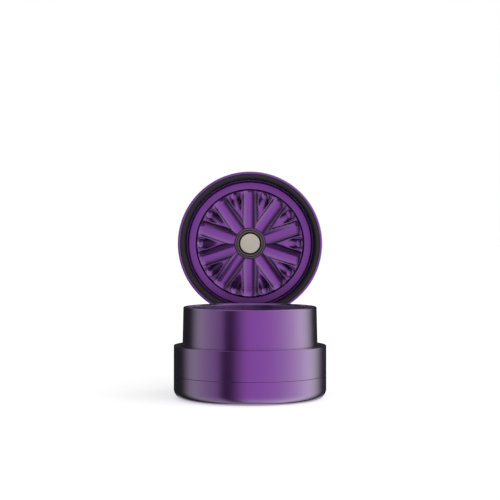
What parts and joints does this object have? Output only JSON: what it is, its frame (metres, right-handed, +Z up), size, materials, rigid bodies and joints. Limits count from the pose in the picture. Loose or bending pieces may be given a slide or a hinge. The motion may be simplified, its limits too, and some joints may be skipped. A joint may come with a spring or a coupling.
{
  "type": "herb grinder",
  "caption": "Round mill-type hand grinder: a screwed cup, catch chamber and fluted stator under a turning lid with a fluted rotor, stored with the lid stood upright behind.",
  "frame": {"origin": "centre of the round base, on the surface it stands on", "axes": "+Z up through the stack of screwed pieces; -Y is the front, +Y is where the lid stands; +X to the viewer's right"},
  "size_m": [0.0636, 0.0864, 0.0954],
  "materials": {
    "purple_anodised": "gloss anodised",
    "steel": "brushed",
    "taupe_steel": "turned",
    "steel_mesh": "woven",
    "nickel_magnet": "satin plated",
    "black_rubber": "matte",
    "black_polymer": "matte"
  },
  "bodies": {
    "cup": {"bottom_cup": "purple_anodised"},
    "cup_seal": {"cup_o_ring": "black_rubber"},
    "chamber": {"catch_chamber": "purple_anodised", "screen_frame": "steel", "screen_mesh": "steel_mesh", "screen_snap_ring": "steel"},
    "neck_seal": {"neck_o_ring": "black_rubber"},
    "neck": {"grinding_chamber": "purple_anodised", "stator": "purple_anodised", "stator_snap_ring": "steel", "stator_magnet_cup": "steel", "stator_magnet": "nickel_magnet", "stator_magnet_screw": "steel"},
    "glide_ring": {"lid_glide_ring": "black_polymer"},
    "lid": {"lid_cap": "purple_anodised", "rotor": "purple_anodised", "rotor_magnet_cup": "taupe_steel", "rotor_magnet": "nickel_magnet", "rotor_screw": "steel", "drive_pin_left": "steel", "drive_pin_right": "steel"}
  },
  "joints": [
    {"name": "chamber_rise", "type": "slide", "parent": "cup", "child": "cup_seal", "axis": [0, 0, 1], "range_m": [0, 0.0045]},
    {"name": "chamber_turn", "type": "hinge", "parent": "cup_seal", "child": "chamber", "pos_m": [0, 0, 0.0097], "axis": [0, 0, 1], "range_deg": [0, 1080]},
    {"name": "neck_rise", "type": "slide", "parent": "chamber", "child": "neck_seal", "axis": [0, 0, 1], "range_m": [0, 0.00525]},
    {"name": "neck_turn", "type": "hinge", "parent": "neck_seal", "child": "neck", "pos_m": [0, 0, 0.022], "axis": [0, 0, 1], "range_deg": [0, 1260]},
    {"name": "lid_tip", "type": "hinge", "parent": "neck", "child": "glide_ring", "pos_m": [0, 0.03725, 0.02645], "axis": [1, 0, 0], "range_deg": [0, 90]},
    {"name": "lid_turn", "type": "hinge", "parent": "glide_ring", "child": "lid", "pos_m": [0, 0.0331, 0.0637], "axis": [0, 1, 0], "continuous": true}
  ],
  "couplings": [
    {"joint": "chamber_rise", "follows": "chamber_turn", "m_per_rad": 0.00023873},
    {"joint": "neck_rise", "follows": "neck_turn", "m_per_rad": 0.00023873}
  ]
}
